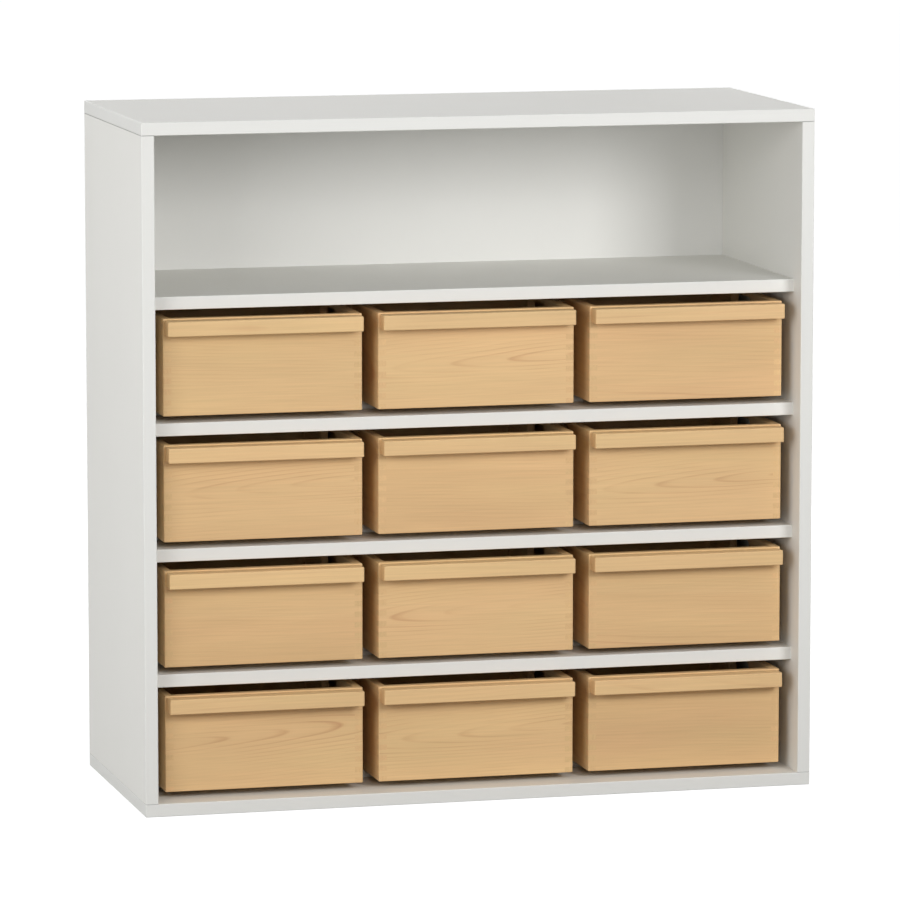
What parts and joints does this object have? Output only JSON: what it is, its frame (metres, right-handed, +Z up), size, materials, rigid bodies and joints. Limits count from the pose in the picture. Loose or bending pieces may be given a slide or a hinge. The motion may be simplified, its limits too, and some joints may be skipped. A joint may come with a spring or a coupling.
{
  "type": "tray storage cabinet",
  "caption": "Open-fronted storage cabinet with an open top space above rows of removable wooden trays, each with a grip bar and hand holes.",
  "frame": {"origin": "on the floor, at the centre of the cabinet's footprint", "axes": "+Z up, open front faces -Y, +X to the right as seen from the front"},
  "size_m": [1.01, 0.42, 1.01],
  "materials": {
    "coated_board": "fine satin melamine",
    "edge_band": "smooth satin",
    "back_board": "fine satin melamine",
    "dowel_wood": "raw turned beech",
    "tray_wood": "clear matt lacquer on maple",
    "tray_plywood": "clear matt lacquer on plywood",
    "grip_wood": "clear matt lacquer on maple",
    "runner_plastic": "moulded matt"
  },
  "bodies": {
    "cabinet": {"top_panel": "coated_board", "base_panel": "coated_board", "left_side_panel": "coated_board", "right_side_panel": "coated_board", "shelf_1": "coated_board", "shelf_2": "coated_board", "shelf_3": "coated_board", "shelf_4": "coated_board", "back_panel": "back_board", "edge_bands": "edge_band", "dowels": "dowel_wood", "tray_runners": "runner_plastic"},
    "tray_r1c1": {"tray_r1c1_end_walls": "tray_wood", "tray_r1c1_side_walls": "tray_wood", "tray_r1c1_floor": "tray_plywood", "tray_r1c1_grip_bar": "grip_wood"},
    "tray_r1c2": {"tray_r1c2_end_walls": "tray_wood", "tray_r1c2_side_walls": "tray_wood", "tray_r1c2_floor": "tray_plywood", "tray_r1c2_grip_bar": "grip_wood"},
    "tray_r1c3": {"tray_r1c3_end_walls": "tray_wood", "tray_r1c3_side_walls": "tray_wood", "tray_r1c3_floor": "tray_plywood", "tray_r1c3_grip_bar": "grip_wood"},
    "tray_r2c1": {"tray_r2c1_end_walls": "tray_wood", "tray_r2c1_side_walls": "tray_wood", "tray_r2c1_floor": "tray_plywood", "tray_r2c1_grip_bar": "grip_wood"},
    "tray_r2c2": {"tray_r2c2_end_walls": "tray_wood", "tray_r2c2_side_walls": "tray_wood", "tray_r2c2_floor": "tray_plywood", "tray_r2c2_grip_bar": "grip_wood"},
    "tray_r2c3": {"tray_r2c3_end_walls": "tray_wood", "tray_r2c3_side_walls": "tray_wood", "tray_r2c3_floor": "tray_plywood", "tray_r2c3_grip_bar": "grip_wood"},
    "tray_r3c1": {"tray_r3c1_end_walls": "tray_wood", "tray_r3c1_side_walls": "tray_wood", "tray_r3c1_floor": "tray_plywood", "tray_r3c1_grip_bar": "grip_wood"},
    "tray_r3c2": {"tray_r3c2_end_walls": "tray_wood", "tray_r3c2_side_walls": "tray_wood", "tray_r3c2_floor": "tray_plywood", "tray_r3c2_grip_bar": "grip_wood"},
    "tray_r3c3": {"tray_r3c3_end_walls": "tray_wood", "tray_r3c3_side_walls": "tray_wood", "tray_r3c3_floor": "tray_plywood", "tray_r3c3_grip_bar": "grip_wood"},
    "tray_r4c1": {"tray_r4c1_end_walls": "tray_wood", "tray_r4c1_side_walls": "tray_wood", "tray_r4c1_floor": "tray_plywood", "tray_r4c1_grip_bar": "grip_wood"},
    "tray_r4c2": {"tray_r4c2_end_walls": "tray_wood", "tray_r4c2_side_walls": "tray_wood", "tray_r4c2_floor": "tray_plywood", "tray_r4c2_grip_bar": "grip_wood"},
    "tray_r4c3": {"tray_r4c3_end_walls": "tray_wood", "tray_r4c3_side_walls": "tray_wood", "tray_r4c3_floor": "tray_plywood", "tray_r4c3_grip_bar": "grip_wood"}
  },
  "joints": [
    {"name": "tray_r1c1_slide", "type": "slide", "parent": "cabinet", "child": "tray_r1c1", "axis": [0, -1, 0], "range_m": [0, 0.24]},
    {"name": "tray_r1c2_slide", "type": "slide", "parent": "cabinet", "child": "tray_r1c2", "axis": [0, -1, 0], "range_m": [0, 0.24]},
    {"name": "tray_r1c3_slide", "type": "slide", "parent": "cabinet", "child": "tray_r1c3", "axis": [0, -1, 0], "range_m": [0, 0.24]},
    {"name": "tray_r2c1_slide", "type": "slide", "parent": "cabinet", "child": "tray_r2c1", "axis": [0, -1, 0], "range_m": [0, 0.24]},
    {"name": "tray_r2c2_slide", "type": "slide", "parent": "cabinet", "child": "tray_r2c2", "axis": [0, -1, 0], "range_m": [0, 0.24]},
    {"name": "tray_r2c3_slide", "type": "slide", "parent": "cabinet", "child": "tray_r2c3", "axis": [0, -1, 0], "range_m": [0, 0.24]},
    {"name": "tray_r3c1_slide", "type": "slide", "parent": "cabinet", "child": "tray_r3c1", "axis": [0, -1, 0], "range_m": [0, 0.24]},
    {"name": "tray_r3c2_slide", "type": "slide", "parent": "cabinet", "child": "tray_r3c2", "axis": [0, -1, 0], "range_m": [0, 0.24]},
    {"name": "tray_r3c3_slide", "type": "slide", "parent": "cabinet", "child": "tray_r3c3", "axis": [0, -1, 0], "range_m": [0, 0.24]},
    {"name": "tray_r4c1_slide", "type": "slide", "parent": "cabinet", "child": "tray_r4c1", "axis": [0, -1, 0], "range_m": [0, 0.24]},
    {"name": "tray_r4c2_slide", "type": "slide", "parent": "cabinet", "child": "tray_r4c2", "axis": [0, -1, 0], "range_m": [0, 0.24]},
    {"name": "tray_r4c3_slide", "type": "slide", "parent": "cabinet", "child": "tray_r4c3", "axis": [0, -1, 0], "range_m": [0, 0.24]}
  ]
}
